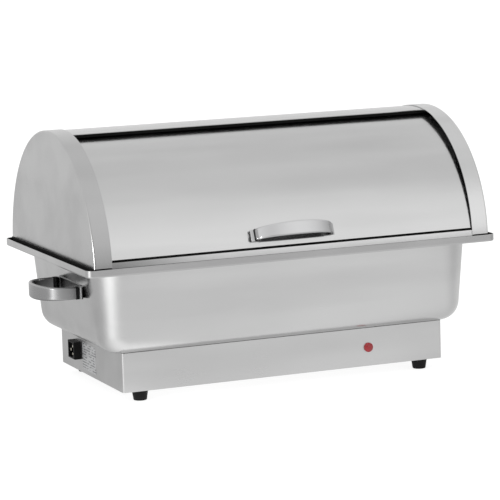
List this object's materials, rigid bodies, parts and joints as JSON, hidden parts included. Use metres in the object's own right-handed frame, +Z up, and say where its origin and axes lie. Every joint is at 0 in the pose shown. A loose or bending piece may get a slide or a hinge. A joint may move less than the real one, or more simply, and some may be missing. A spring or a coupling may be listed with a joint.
{
  "type": "roll top chafing dish",
  "caption": "Electric roll-top food warmer: heated water pan on a low base, food pan, and a lift-off lid frame with a turning cover.",
  "frame": {"origin": "on the floor, under the middle of the whole object's box, at the feet's underside", "axes": "+X along the length to the right, +Y to the back, +Z up; the cover opens from the front"},
  "size_m": [0.6676, 0.3872, 0.3612],
  "materials": {
    "satin_steel": "satin stainless steel, drawn, with a fine grain",
    "lid_steel": "semi-bright stainless steel sheet",
    "base_steel": "fine brushed stainless steel sheet",
    "pan_steel": "bright drawn stainless steel",
    "polished_steel": "polished steel",
    "zinc_hardware": "zinc plated",
    "heater_aluminium": "mill finish",
    "element_sheath": "oxidised sheath",
    "mineral_board": "fibrous board",
    "brown_plastic": "moulded phenolic",
    "ceramic": "glazed ceramic",
    "wire_sleeve": "silicone sleeve",
    "black_plastic": "moulded, fine texture",
    "white_plastic": "low-friction moulding",
    "contact_brass": "plated contacts",
    "foil_label": "printed foil, left blank",
    "red_lens": "translucent red",
    "foot_rubber": "moulded rubber",
    "seal_rubber": "extruded silicone"
  },
  "bodies": {
    "root": {"base_housing": "base_steel", "base_plate": "base_steel", "base_plate_screws": "zinc_hardware", "feet": "foot_rubber", "foot_screws": "zinc_hardware", "foot_nuts": "zinc_hardware", "power_inlet_body": "black_plastic", "power_inlet_pins": "contact_brass", "rating_plate": "foil_label", "indicator_lens": "red_lens", "indicator_body": "black_plastic", "indicator_nut": "zinc_hardware", "water_pan": "satin_steel", "pan_flange": "satin_steel", "rim_lip": "satin_steel", "pan_studs": "zinc_hardware", "heater_plate": "heater_aluminium", "heating_element": "element_sheath", "heater_clamps": "zinc_hardware", "stud_nuts": "zinc_hardware", "heat_shield": "heater_aluminium", "insulation_board": "mineral_board", "thermostat": "brown_plastic", "thermal_cutout": "brown_plastic", "terminal_block": "ceramic", "wire_harness": "wire_sleeve", "side_handle_left_bracket": "polished_steel", "side_handle_left_grip": "polished_steel", "side_handle_left_ferrules": "black_plastic", "side_handle_left_screws": "zinc_hardware", "side_handle_right_bracket": "polished_steel", "side_handle_right_grip": "polished_steel", "side_handle_right_ferrules": "black_plastic", "side_handle_right_screws": "zinc_hardware"},
    "food_pan": {"food_pan": "pan_steel"},
    "lid_frame": {"end_cap_left": "lid_steel", "end_cap_right": "lid_steel", "rear_cover": "lid_steel", "front_sill": "lid_steel", "lid_gasket": "seal_rubber", "front_bumper": "seal_rubber", "rear_edge_seal": "seal_rubber", "pivot_studs": "zinc_hardware", "pivot_spacers": "black_plastic", "pivot_nuts": "zinc_hardware"},
    "roll_cover": {"roll_cover": "lid_steel", "cover_arm_left": "lid_steel", "cover_arm_right": "lid_steel", "pivot_bushes": "white_plastic", "cover_handle_bracket": "polished_steel", "cover_handle_grip": "polished_steel", "cover_handle_ferrules": "black_plastic", "cover_handle_nuts": "zinc_hardware"}
  },
  "joints": [
    {"name": "lid_lift", "type": "slide", "parent": "root", "child": "lid_frame", "axis": [0, 0, 1], "range_m": [0, 0.2]},
    {"name": "food_pan_lift", "type": "slide", "parent": "root", "child": "food_pan", "axis": [0, 0, 1], "range_m": [0, 0.1]},
    {"name": "cover_roll", "type": "hinge", "parent": "lid_frame", "child": "roll_cover", "pos_m": [0, -0.00457, 0.1904], "axis": [-1, 0, 0], "range_deg": [0, 65]}
  ],
  "couplings": [
    {"joint": "food_pan_lift", "follows": "lid_lift", "ratio": 0.5}
  ]
}
